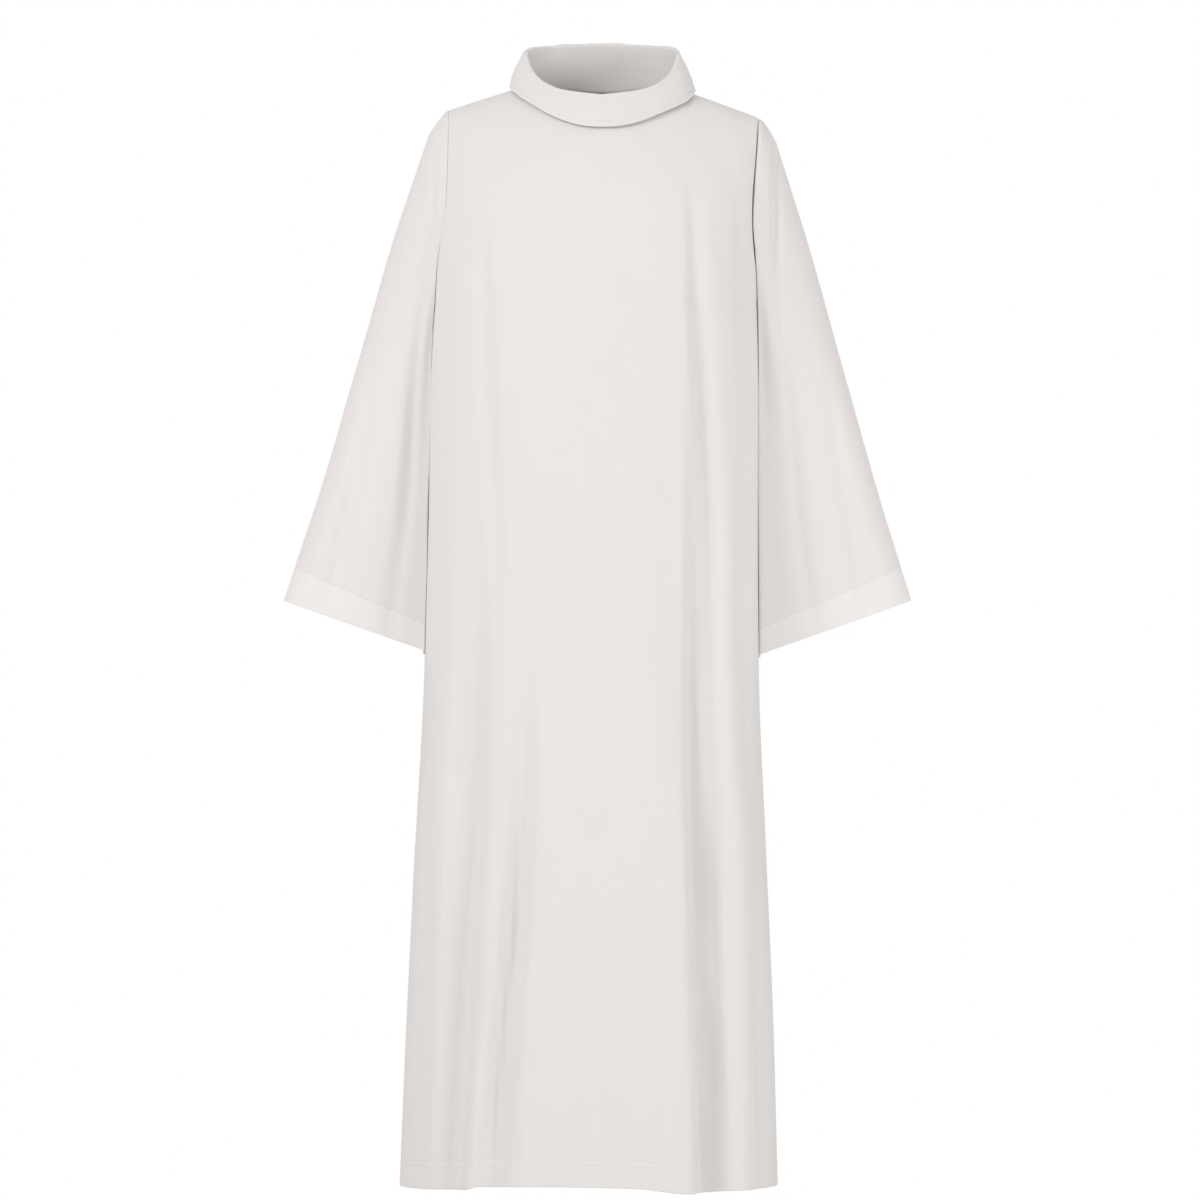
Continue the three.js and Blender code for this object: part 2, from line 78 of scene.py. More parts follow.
# Folds of the body: where each runs at its top and at the hem, in degrees from the middle of
# the front, the heights where it starts and is full, its depth (plus stands out, minus goes
# in), its half width in degrees and how far its crest leans sideways.
BODY_FOLDS = [
    dict(name="left_valley", top=-57, hem=-55, start=-150, full=-1300, depth=-12, width=9, lean=-3),
    dict(name="left_crest", top=-40, hem=-45, start=-560, full=-1438, depth=9, width=9, lean=-2),
    dict(name="front_left", top=-30, hem=-41, start=-860, full=-1438, depth=-8, width=9, lean=0),
    dict(name="front_right_crest", top=31, hem=32, start=-500, full=-1300, depth=6, width=8, lean=2),
    dict(name="right_valley", top=47, hem=41, start=-220, full=-1100, depth=-26, width=7, lean=5),
    dict(name="right_crest", top=60, hem=54, start=-300, full=-1200, depth=10, width=10, lean=0),
    dict(name="left_side", top=-104, hem=-104, start=-640, full=-1438, depth=-18, width=11, lean=0),
    dict(name="right_side", top=106, hem=106, start=-640, full=-1438, depth=-20, width=11, lean=0),
    dict(name="back_left", top=-132, hem=-136, start=-330, full=-1350, depth=-24, width=10, lean=0),
    dict(name="back_middle_left", top=-160, hem=-163, start=-520, full=-1438, depth=-14, width=9, lean=0),
    dict(name="back_middle_right", top=166, hem=168, start=-420, full=-1438, depth=-18, width=9, lean=0),
    dict(name="back_right", top=136, hem=139, start=-360, full=-1350, depth=-22, width=10, lean=0),
]

SLEEVES = [
    dict(name="sleeve_left", side=-1, tip=(-420, 4, -668), inner=(-228, 50, -736), half_depth=50, head=15),
    dict(name="sleeve_right", side=1, tip=(408, 4, -668), inner=(206, 50, -740), half_depth=50, head=13),
]

# How far a sleeve's inner front corner is drawn out, so that its front lies flat to the body.
CORNER = dict(towards_body=32, forward=36)

SLEEVE_FOLDS = [
    dict(name="front_inner", around=0.33, start=0.03, full=0.3, depth=-9, width=0.07),
    dict(name="front_outer", around=0.17, start=0.3, full=0.9, depth=-5, width=0.07),
    dict(name="back_inner", around=0.68, start=0.03, full=0.3, depth=-9, width=0.07),
    dict(name="back_outer", around=0.83, start=0.25, full=0.9, depth=-6, width=0.07),
]

# The collar's rim: its height at a turn in degrees from the middle of the front.
COLLAR_RIM = [(0, -4), (30, 3), (45, 11), (60, 24), (75, 41), (90, 55), (110, 62), (140, 67), (180, 71)]
COLLAR = dict(half_width=101, front=74, back=68, roll=4, clear=3.4)
# How far the fall reaches over the neck seam, at a turn from the middle of the front.
COLLAR_OVERLAP = [
    (-180, 9), (-120, 6), (-88, 4), (-60, 11), (-30, 12), (0, 12),
    (30, 13), (60, 16), (88, 6), (120, 6), (180, 9)]


# Slight waves of the collar's fall: how many go round, where they start and how high they are.
COLLAR_RIPPLES = [
    dict(count=7, start=0.6, height=0.45),
    dict(count=13, start=2.1, height=0.315),
    dict(count=23, start=0, height=0.18),
]


# ---- Form of the body --------------------------------------------------------------------------

def smoothstep(x, low, high):
    t = np.clip((np.asarray(x, float) - low) / (high - low), 0, 1)
    return t * t * (3 - 2 * t)


def bump(distance, width):
    t = np.clip(np.abs(distance) / width, 0, 1)
    return (1 + np.cos(np.pi * t)) / 2


def curve_through(at, value):
    """A smooth curve through points, with no overshoot between them."""
    order = np.argsort(at)
    at, value = np.asarray(at, float)[order], np.asarray(value, float)[order]
    slope = np.diff(value) / np.diff(at)
    before = np.concatenate([slope[:1], slope])
    after = np.concatenate([slope, slope[-1:]])
    product = before * after
    total = np.where(before + after == 0, 1, before + after)
    tangent = np.where(product <= 0, 0, 2 * product / total)

    def curve(x):
        x = np.clip(x, at[0], at[-1])
        i = np.clip(np.searchsorted(at, x) - 1, 0, len(slope) - 1)
        span = at[i + 1] - at[i]
        t = (x - at[i]) / span
        rise = value[i + 1] - value[i]
        ends = tangent[i] * t * (1 - t) ** 2 - tangent[i + 1] * t * t * (1 - t)
        return value[i] + rise * t * t * (3 - 2 * t) + span * ends

    return curve


body_reach = {
    column: curve_through([row["z"] for row in BODY_LEVELS], [row[column] for row in BODY_LEVELS])
    for column in ("left", "right", "front", "back", "square")
}


def body_fold(turn, z):
    """How far the folds carry the outline out and sideways."""
    out = np.zeros(np.broadcast(turn, z).shape)
    along = np.zeros_like(out)
    for fold in BODY_FOLDS:
        grown = smoothstep(-z, -fold["start"], -fold["full"])
        share = np.clip((z - fold["start"]) / (HEM - fold["start"]), 0, 1)
        middle = fold["top"] + (fold["hem"] - fold["top"]) * share
        away = (np.degrees(turn) - middle + 540) % 360 - 180
        here = grown * bump(away, fold["width"])
        out += fold["depth"] * here
        along += fold["lean"] * here
    return out, along


def body_outline(turn, z):
    """x and y of the body's level outline, before the shoulders round it in."""
    sine, cosine = np.sin(turn), np.cos(turn)
    side = np.where(sine >= 0, body_reach["right"](z), body_reach["left"](z))
    depth = np.where(cosine >= 0, body_reach["front"](z), body_reach["back"](z))
    square = body_reach["square"](z)
    radius = ((np.abs(sine) / side) ** square + (np.abs(cosine) / depth) ** square) ** (-1 / square)
    out, along = body_fold(turn, z)
    radius = radius + out
    return radius * sine + along * cosine, -radius * cosine + along * sine


def shoulder_line(x):
    blunt = np.hypot(SHOULDER["neck_x"], SHOULDER["round"]) - np.hypot(x, SHOULDER["round"])
    return SHOULDER["neck_z"] + SHOULDER["slope"] * blunt - SHOULDER["tilt"] * x


def panel_turn(panel, turn):
    """A turn from the middle of a panel, as a turn from the middle of the front."""
    return turn if panel == "front" else np.pi - turn


def shoulder_point(panel, turn, lean):
    """A point in the round of the shoulder: lean is 0 on the shoulder line and a right angle
    where the panel has its full depth."""
    fall = SHOULDER_FALL[panel] * (1 - np.cos(lean))
    z = np.zeros(np.broadcast(turn, lean).shape)
    for _ in range(6):
        z = shoulder_line(body_outline(turn, z)[0]) - fall
    x, y = body_outline(turn, z)
    return np.stack([x, y * np.sin(lean), z], axis=-1)


def edge_turn(z):
    """The panel's side edge: straight down the armhole, then out to the side seam."""
    top, under = ARMHOLE["straight_to"], ARMHOLE["underarm"]
    share = np.clip((top - z) / (top - under), 0, 1)
    curve = 1 - np.sqrt(1 - share * share)
    return np.radians(ARMHOLE["turn"] + (90 - ARMHOLE["turn"]) * curve)


def neck_turn(panel, side):
    low, high = 0.0, math.radians(ARMHOLE["turn"])
    for _ in range(40):
        middle = (low + high) / 2
        reach = abs(shoulder_point(panel, panel_turn(panel, side * middle), np.zeros(()))[0])
        low, high = (middle, high) if reach < NECK["half_width"] else (low, middle)
    return (low + high) / 2


def top_lean(panel, turn):
    """The lean at which each column starts: 0 at the shoulder seam, more along the neck edge."""
    limit = np.where(turn < 0, neck_turn(panel, -1), neck_turn(panel, 1))
    share = np.clip(np.abs(turn) / limit, 0, 1)
    line = shoulder_line(shoulder_point(panel, panel_turn(panel, turn), np.zeros_like(turn))[..., 0])
    z = NECK[panel + "_z"] + (line - NECK[panel + "_z"]) * share ** NECK["curve"]
    return np.arccos(np.clip(1 - (line - z) / SHOULDER_FALL[panel], -1, 1))


# ---- Cloth and sewing ------------------------------------------------------------------------

CLOTH = 0.7            # of the shell
SLEEVE_SEAM = dict(left=0.12, right=0.6)  # from a panel's edge to the sleeve
SLEEVE_CLEAR = 0.6     # between a hanging sleeve and the body
# Rows and columns close to a sewn edge, in distances from it, and how the edge turns in there.
EDGE_STEPS = [0, 0.5, 1.1, 1.9, 3.0, 4.6]
EDGE_TURN_IN = dict(left=0.2, right=1.9, level=0.8)
EDGE_REACH = 3.4
HEM_DEPTH = 34
CUFF_DEPTH = 38
COLLAR_STITCH = 8
TURN_UP_GAP = 1.7      # from the outer face to the turned-up cloth's face inside
UNEVEN_SEEDS = dict(front=7, back=11, sleeve_left=23, sleeve_right=29)
PANEL_COLUMNS = dict(front=(44, 66), back=(34, 58))  # each shoulder, the neck
LEAN_ROWS = dict(front=48, back=40)
SKIRT_ROWS = dict(front=150, back=126)
SLEEVE_AROUND = 128
COLLAR_AROUND = 230

# Creases laid over the larger folds. Each one runs down a path of heights, sideways
# places, depths (plus stands out, minus goes in) and half widths. lean above zero makes the
# side to the left steep, and below zero the side to the right.
CREASES = dict(
    front=[
        dict(name="left_chest", lean=0.1, path=[
            (-150, -161, 0, 15), (-300, -155, -3.5, 16), (-430, -148, -4.5, 17),
            (-600, -141, -3, 18), (-770, -137, 0, 18)]),
        dict(name="left_low_valley", lean=0.2, path=[
            (-640, -158, 0, 12), (-800, -160, -3, 13), (-998, -168, -4, 14),
            (-1196, -181, -3, 15), (-1300, -184, 0, 15)]),
        dict(name="left_edge_ridge", lean=0, path=[
            (-600, -206, 0, 20), (-800, -207, 3, 22), (-1100, -210, 4, 24), (-1438, -214, 4, 26)]),
        dict(name="left_diagonal", lean=0.15, path=[
            (-720, -102, 0, 18), (-840, -104, -8, 20), (-998, -110, -13, 21), (-1100, -116, -15, 22),
            (-1196, -126, -15, 22), (-1354, -139, -13, 22), (-1438, -146, -10, 22)]),
        dict(name="right_valley", lean=0.45, path=[
            (-110, 112, 0, 14), (-180, 118, -5, 18), (-272, 121, -8, 20),
            (-430, 130, -11, 21), (-615, 139, -12, 21),
            (-800, 140, -12, 21), (-998, 141, -12, 21), (-1196, 143, -11, 21),
            (-1354, 148, -10, 22), (-1438, 150, -9, 22)]),
        dict(name="right_edge", lean=0, path=[
            (-130, 182, 0, 14), (-260, 186, -3, 15), (-430, 190, -4, 15),
            (-600, 188, -4, 15), (-800, 186, -2, 15), (-960, 186, 0, 15)]),
        dict(name="right_ridge", lean=0, path=[
            (-700, 186, 0, 20), (-850, 187, 4, 20), (-1200, 189, 5, 22), (-1438, 192, 4, 24)]),
        dict(name="right_soft", lean=0, path=[
            (-320, 74, 0, 26), (-520, 84, -2.5, 30), (-760, 92, -3, 30),
            (-1000, 98, -2, 28), (-1180, 100, 0, 28)]),
        dict(name="hem_pinch", lean=0, path=[
            (-1352, -112, 0, 6), (-1385, -114, -2.5, 7), (-1438, -116, -1, 8)]),
        dict(name="middle_low", lean=0, path=[
            (-1010, 20, 0, 30), (-1220, 24, -2.5, 34), (-1438, 30, -4, 36)]),
        dict(name="middle_left_low", lean=0, path=[
            (-900, -40, 0, 30), (-1180, -44, -2, 32), (-1438, -48, -3, 30)]),
    ],
    back=[
        dict(name="left_blade", lean=-0.2, path=[
            (-130, -140, 0, 16), (-320, -134, -5, 20), (-620, -128, -7, 22),
            (-980, -126, -9, 24), (-1438, -130, -8, 26)]),
        dict(name="left_low", lean=0, path=[
            (-640, -74, 0, 18), (-860, -76, -5, 20), (-1150, -84, -6, 22), (-1438, -90, -5, 24)]),
        dict(name="middle", lean=0, path=[
            (-300, 8, 0, 26), (-560, 12, -4, 30), (-900, 6, -5, 30), (-1438, -4, -6, 32)]),
        dict(name="right_blade", lean=0.3, path=[
            (-150, 128, 0, 15), (-300, 124, -6, 18), (-560, 120, -8, 21),
            (-900, 122, -11, 24), (-1438, 128, -10, 26)]),
        dict(name="right_low", lean=0, path=[
            (-820, 62, 0, 18), (-1060, 64, -4, 20), (-1438, 70, -6, 22)]),
        dict(name="hem_pinch", lean=0, path=[
            (-1360, 36, 0, 6), (-1390, 37, -2, 7), (-1438, 38, -1, 8)]),
    ],
    sleeve_left=[
        dict(name="front_hang", face="front", lean=-0.2, path=[
            (-150, -226, 0, 10), (-280, -236, -4, 12), (-396, -247, -6, 14),
            (-530, -255, -6, 15), (-650, -270, -4, 16), (-720, -280, -2, 16)]),
        dict(name="front_outer", face="front", lean=0.1, path=[
            (-330, -300, 0, 14), (-460, -318, -3, 16), (-600, -345, -4, 17), (-700, -362, -2, 17)]),
        dict(name="cap_roll", face="front", lean=0, path=[
            (-58, -222, 0, 6), (-120, -222, -2, 7), (-220, -226, -2, 7), (-300, -232, 0, 7)]),
        dict(name="back_hang", face="back", lean=0.1, path=[
            (-120, -226, 0, 10), (-260, -240, -5, 13), (-440, -258, -6, 15),
            (-620, -285, -5, 17), (-720, -300, -2, 17)]),
        dict(name="back_outer", face="back", lean=0, path=[
            (-280, -292, 0, 13), (-450, -325, -4, 15), (-640, -360, -4, 17), (-700, -370, -2, 17)]),
    ],
    sleeve_right=[
        dict(name="cap_roll", face="front", lean=-0.2, path=[
            (-52, 230, 0, 7), (-90, 231, -5, 9), (-190, 231, -6, 10),
            (-280, 230, -4, 10), (-380, 232, 0, 10)]),
        dict(name="front_hang", face="front", lean=0.2, path=[
            (-300, 236, 0, 10), (-400, 244, -4, 13), (-540, 256, -5, 15),
            (-660, 270, -4, 16), (-725, 280, -2, 16)]),
        dict(name="front_outer", face="front", lean=0, path=[
            (-360, 292, 0, 14), (-500, 316, -3, 16), (-640, 342, -4, 17), (-710, 352, -2, 17)]),
        dict(name="back_hang", face="back", lean=-0.1, path=[
            (-110, 222, 0, 10), (-240, 232, -5, 13), (-430, 250, -7, 15),
            (-610, 278, -5, 17), (-725, 296, -2, 17)]),
        dict(name="back_outer", face="back", lean=0, path=[
            (-300, 285, 0, 13), (-470, 318, -3, 15), (-650, 350, -4, 17), (-705, 360, -2, 17)]),
    ],
)

# How much the front's foot rises or dips, at places from left to right.
HEM_SWAY = [(-270, -1), (-185, 0), (-160, 5), (-60, 6), (40, 4), (118, -4), (165, -1), (235, 0)]


# ---- Grids of cloth ----------------------------------------------------------------------------

def grid_normals(grid, ring=False):
    """Outward normals of a grid whose rows run down and whose columns run to the right."""
    if ring:
        across = np.roll(grid, -1, axis=1) - np.roll(grid, 1, axis=1)
    else:
        across = np.gradient(grid, axis=1)
    up = -np.gradient(grid, axis=0)
    return unit(np.cross(across, up))


def unit(vectors):
    return vectors / np.maximum(np.linalg.norm(vectors, axis=-1, keepdims=True), 1e-9)


def lengths_along(grid, axis):
    """The cloth's own length from the first row or column, along the other axis."""
    steps = np.linalg.norm(np.diff(grid, axis=axis), axis=-1)
    start = np.zeros_like(np.take(steps, [0], axis=axis))
    return np.concatenate([start, np.cumsum(steps, axis=axis)], axis=axis)


def resample(line, count):
    """A closed line of points, spread evenly along its length. Its rows may carry more values
    after their place."""
    line = np.concatenate([line, line[:1]])
    length = np.concatenate([[0], np.cumsum(np.linalg.norm(np.diff(line[:, :3], axis=0), axis=1))])
    where = np.linspace(0, length[-1], count, endpoint=False)
    return np.stack([np.interp(where, length, line[:, k]) for k in range(line.shape[1])], axis=-1)


def creased(grid, normals, creases, held=1.0):
    """The grid with its creases pressed in or drawn out along its normals."""
    x, z = grid[..., 0], grid[..., 2]
    move = np.zeros_like(x)
    for crease in creases:
        rows = np.array(crease["path"], float)
        heights = rows[:, 0]
        place, depth, width = (curve_through(heights, rows[:, k])(z) for k in (1, 2, 3))
        away = x - place
        width = width * (1 - crease["lean"] * np.where(away < 0, 1, -1))
        within = (z <= heights.max()) & (z >= heights.min() - 1)
        here = depth * bump(away, width) * within
        face = crease.get("face")
        if face:
            here = here * smoothstep(normals[..., 1] * (-1 if face == "front" else 1), 0.05, 0.5)
        move = move + here
    return grid + normals * (move * held)[..., None]


def uneven(grid, normals, amount, seed):
    """Slight waves of the cloth, longer down than across."""
    chance = np.random.default_rng(seed)
    x, y, z = grid[..., 0], grid[..., 1], grid[..., 2]
    move = np.zeros_like(x)
    for _ in range(14):
        across, down = chance.uniform(60, 190), chance.uniform(220, 700)
        start, tilt = chance.uniform(0, 2 * np.pi), chance.uniform(-0.25, 0.25)
        wave = 2 * np.pi * ((x + 0.6 * y + tilt * z) / across + z / down) + start
        move += np.sin(wave) * across / 190
    return grid + normals * (np.asarray(amount) * move / 2.2)[..., None]


def turned_in(grid, normals, distance, depth):
    """A sewn edge: the cloth rolls in over its last few millimetres."""
    roll = np.clip(1 - distance / EDGE_REACH, 0, 1) ** 2
    return grid - normals * (depth * roll)[..., None]


def pressed_line(grid, normals, distance, depth=0.5, width=2.2):
    """The shallow groove that a line of stitches pulls into the cloth."""
    return grid - normals * (depth * bump(distance, width))[..., None]


def turned_up(grid, normals, rows):
    """The grid with its foot folded round and up inside, over its last few rows."""
    foot, out = grid[-1], normals[-1]
    down = unit(grid[-1] - grid[-2])
    round_foot = [
        foot + down * (TURN_UP_GAP / 2 * math.sin(turn)) - out * (TURN_UP_GAP / 2 * (1 - math.cos(turn)))
        for turn in np.radians([40, 80, 120, 160])
    ]
    inside = (grid - normals * TURN_UP_GAP)[::-1][:rows]
    return np.concatenate([grid, np.array(round_foot), inside])


# ---- Pieces ------------------------------------------------------------------------------------

def deselect_all():
    bpy.ops.object.select_all(action="DESELECT")


def add_mesh(name, points, faces):
    mesh = bpy.data.meshes.new(name)
    mesh.from_pydata((np.asarray(points) * MM).tolist(), [], faces)
    piece = bpy.data.objects.new(name, mesh)
    bpy.context.collection.objects.link(piece)
    mesh.polygons.foreach_set("use_smooth", [True] * len(mesh.polygons))
    return piece


def cloth_piece(name, grid, hem, ring=False):
    """A smooth thin shell on a grid of points, its outer face. hem is 1 where cloth is double."""
    rows, columns = grid.shape[:2]
    wrap = columns if ring else columns - 1
    faces = [
        (r * columns + c, (r + 1) * columns + c, (r + 1) * columns + after, r * columns + after)
        for r in range(rows - 1)
        for c, after in ((c, (c + 1) % columns) for c in range(wrap))
    ]
    piece = add_mesh(name, grid.reshape(-1, 3), faces)
    mesh = piece.data
    middle = 0 if ring else columns // 2
    across = lengths_along(grid, 1)
    uv = np.stack([across - across[:, middle : middle + 1], -lengths_along(grid, 0)], axis=-1) * MM
    closing = uv[:, -1] + (uv[:, -1] - uv[:, -2])
    uv = np.concatenate([uv, closing[:, None]], axis=1)
    corners = [uv[:-1, :wrap], uv[1:, :wrap], uv[1:, 1 : wrap + 1], uv[:-1, 1 : wrap + 1]]
    mesh.uv_layers.new(name="Cloth").data.foreach_set("uv", np.stack(corners, axis=2).ravel())
    double = mesh.attributes.new("Double", "FLOAT", "POINT")
    double.data.foreach_set("value", np.broadcast_to(np.asarray(hem, float), (rows, columns)).ravel())
    deselect_all()
    piece.select_set(True)
    bpy.context.view_layer.objects.active = piece
    shell = piece.modifiers.new("Wall", "SOLIDIFY")
    shell.thickness = CLOTH * MM
    shell.offset = -1
    shell.use_even_offset = False
    bpy.ops.object.modifier_apply(modifier=shell.name)
    return piece


# ---- Front and back panels ---------------------------------------------------------------------

def panel_columns(panel):
    """Shares of the edge turn at which the panel has columns: the neck points are among them."""
    edge = math.radians(ARMHOLE["turn"])
    left, right = neck_turn(panel, -1) / edge, neck_turn(panel, 1) / edge
    shoulder, neck = PANEL_COLUMNS[panel]
    near_edge = np.array(EDGE_STEPS) / 360
    start = near_edge[-1]
    return np.concatenate([
        -1 + near_edge[:-1],
        np.linspace(-1 + start, -left, shoulder, endpoint=False),
        np.linspace(-left, right, neck, endpoint=False),
        np.linspace(right, 1 - start, shoulder),
        (1 - near_edge[:-1])[::-1],
    ])


def down_to(start, foot, stitch, rows):
    """Places from start to foot, closer by the line of stitches above the foot."""
    way = 1 if foot > start else -1
    near = np.array([-5, -3.5, -2.4, -1.6, -0.8, 0, 0.8, 1.6, 2.4, 3.5, 5])
    upper = np.linspace(start, stitch - way * 6, rows, endpoint=False)
    lower = np.linspace(stitch + way * 7, foot - way * 1.5, 5)
    return np.concatenate([upper, stitch + way * near, lower, [foot]])


def panel_form(panel):
    """The panel's outer face before it is sewn: rows from the shoulder to the hem, columns to
    the right as seen from outside."""
    share = panel_columns(panel)
    edge = math.radians(ARMHOLE["turn"])
    start = top_lean(panel, share * edge)
    steps = np.concatenate([[0, 0.004, 0.009, 0.016, 0.026], np.linspace(0.04, 1, LEAN_ROWS[panel] - 5)])
    lean = start + (np.pi / 2 - start) * steps[:, None]
    turn = np.broadcast_to(share * edge, lean.shape)
    for _ in range(5):
        z = shoulder_point(panel, panel_turn(panel, turn), lean)[..., 2]
        turn = share * edge_turn(z)
    top = shoulder_point(panel, panel_turn(panel, turn), lean)
    waist = top[-1, :, 2]
    z = np.stack([down_to(w, HEM, HEM + HEM_DEPTH, SKIRT_ROWS[panel])[1:] for w in waist], axis=1)
    turn = share * edge_turn(z)
    x, y = body_outline(panel_turn(panel, turn), z)
    form = np.concatenate([top, np.stack([x, y, z], axis=-1)])
    form[..., 1] += SEAM_GAP / 2 * (-1 if panel == "front" else 1)
    return form if panel == "front" else form[:, ::-1]


def seam_distance(grid):
    """How far each point is from the panel's sewn sides and top, within the cloth."""
    across, down = lengths_along(grid, 1), lengths_along(grid, 0)
    return np.minimum(across, across[:, -1:] - across), down


def edge_depth(x):
    return np.where(x < 0, EDGE_TURN_IN["left"], EDGE_TURN_IN["right"])


def finished_panel(panel, form):
    normals = grid_normals(form)
    side, top = seam_distance(form)
    free = smoothstep(side, 6, 34) * smoothstep(top, 6, 40)
    grid = creased(form, normals, CREASES[panel], free)
    grid = uneven(grid, normals, 0.9 * free, UNEVEN_SEEDS[panel])
    sway = curve_through(*zip(*HEM_SWAY))(grid[..., 0]) * (1 if panel == "front" else 0.5)
    from_stitch = np.abs(grid[..., 2] - (HEM + HEM_DEPTH))
    grid[..., 2] += sway * smoothstep(-grid[..., 2], -HEM - 260, -HEM)
    normals = grid_normals(grid)
    grid = turned_in(grid, normals, side, edge_depth(grid[..., 0]))
    grid = turned_in(grid, normals, top, EDGE_TURN_IN["level"])
    grid = pressed_line(grid, normals, from_stitch, depth=0.35)
    hem_rows = int((form[:, 0, 2] <= HEM + HEM_DEPTH + 2.5).sum())
    band = smoothstep(-form[..., 2], -(HEM + HEM_DEPTH) - 1, -(HEM + HEM_DEPTH) + 1)
    grid = turned_up(grid, grid_normals(grid), hem_rows)
    double = np.concatenate([band, np.ones((len(grid) - len(band), band.shape[1]))])
    return grid, double


# ---- Seam edges --------------------------------------------------------------------------------

def edge_of(form, rows, columns, inner_rows, inner_columns):
    """Places, normals and off-directions along one edge of a panel, where off leads away from
    the panel in its own surface."""
    points = form[rows, columns]
    normals = grid_normals(form)[rows, columns]
    off = unit(np.cross(np.gradient(points, axis=0), normals))
    inward = form[inner_rows, inner_columns] - points
    off *= -np.sign((off * inward).sum(axis=1, keepdims=True))
    return np.concatenate([points, normals, off], axis=1)


def joined(first, second):
    middle = (first + second) / 2
    middle[3:6], middle[6:9] = unit(middle[3:6]), unit(middle[6:9])
    return middle[None]


def armhole(side):
    halves = []
    for form, at_start in ((front_form, side < 0), (back_form, side > 0)):
        column = 0 if at_start else form.shape[1] - 1
        inner = 7 if at_start else form.shape[1] - 8
        under = int(np.argmax(form[:, column, 2] <= ARMHOLE["underarm"]))
        rows = np.arange(under + 1)
        halves.append(edge_of(form, rows, column, rows, inner))
    on_front, on_back = halves
    shoulder, underarm = joined(on_front[0], on_back[0]), joined(on_front[-1], on_back[-1])
    underarm[0, 6:9] = (0, 0, 1)
    return np.concatenate([shoulder, on_front[1:-1], underarm, on_back[1:-1][::-1]])


def neck_edge():
    halves = []
    for panel, form in (("front", front_form), ("back", back_form)):
        share, edge = panel_columns(panel), math.radians(ARMHOLE["turn"])
        left, right = neck_turn(panel, -1) / edge, neck_turn(panel, 1) / edge
        inside = (share >= -left - 1e-6) & (share <= right + 1e-6)
        if panel == "back":
            inside = inside[::-1]
        columns = np.flatnonzero(inside)
        halves.append(edge_of(form, 0, columns, 8, columns))
    on_front, on_back = halves
    left, right = joined(on_front[0], on_back[-1]), joined(on_front[-1], on_back[0])
    return np.concatenate([left, on_front[1:-1], right, on_back[1:-1]])


# ---- Sleeves -----------------------------------------------------------------------------------

def clear_of_body(point, clear):
    x, y, z = point[..., 0], point[..., 1], point[..., 2]
    fall = np.where(y < 0, SHOULDER_FALL["front"], SHOULDER_FALL["back"])
    drop = np.clip((shoulder_line(x) - z) / fall, 0.02, 1)
    flat = np.stack([x, y / np.sin(np.arccos(1 - drop))], axis=-1)
    turn = np.arctan2(flat[..., 0], -flat[..., 1])
    from_middle = np.where(y < 0, np.abs(turn), np.pi - np.abs(turn))
    held = np.where(from_middle > edge_turn(z), smoothstep(-z, 110, 200), 1)
    reach = np.hypot(*body_outline(turn, z)) + clear
    short = np.maximum(reach / np.linalg.norm(flat, axis=-1) - 1, 0) * held
    return point * np.stack([1 + short, 1 + short, np.ones_like(short)], axis=-1)


def sleeve_form(sleeve):
    """The sleeve's outer face: rows from the armhole to the cuff, columns to the right."""
    edge = resample(armhole(sleeve["side"]), SLEEVE_AROUND)
    tip, inner = np.array(sleeve["tip"], float), np.array(sleeve["inner"], float)
    middle = (tip + inner) / 2
    length = np.linalg.norm(middle - edge[:, :3].mean(axis=0))
    down = np.concatenate([EDGE_STEPS[:-1], down_to(EDGE_STEPS[-1], length, length - CUFF_DEPTH, 92)])
    share = (down / length)[:, None]
    around = np.arange(SLEEVE_AROUND) / SLEEVE_AROUND
    turn = 2 * np.pi * around
    end = middle + (tip - middle) * np.cos(turn)[:, None]
    end[:, 1] -= sleeve["half_depth"] * np.sin(turn)
    corner = np.where((turn > np.pi / 2) & (turn < np.pi), np.sin(2 * turn) ** 2, 0)
    end += unit(inner - tip) * (CORNER["towards_body"] * corner)[:, None]
    end[:, 1] -= CORNER["forward"] * corner
    start = edge[:, :3] + edge[:, 6:9] * SLEEVE_SEAM["left" if sleeve["side"] < 0 else "right"]
    grid = start * (1 - share[..., None]) + end * share[..., None]
    rise = np.minimum(share / 0.05, 1) ** 0.6 * (1 - smoothstep(share, 0.2, 0.85))
    grid[..., 0] += sleeve["side"] * sleeve["head"] * rise * np.maximum(np.cos(turn), 0)
    for fold in SLEEVE_FOLDS:
        here = fold["depth"] * smoothstep(share, fold["start"], fold["full"])
        grid[..., 1] -= here * bump(around - fold["around"], fold["width"]) * np.sin(turn)
    grid = clear_of_body(grid, SLEEVE_CLEAR * np.minimum(share / 0.025, 1))
    if sleeve["side"] > 0:
        grid = np.concatenate([grid[:, :1], grid[:, 1:][:, ::-1]], axis=1)
    return grid, down, length


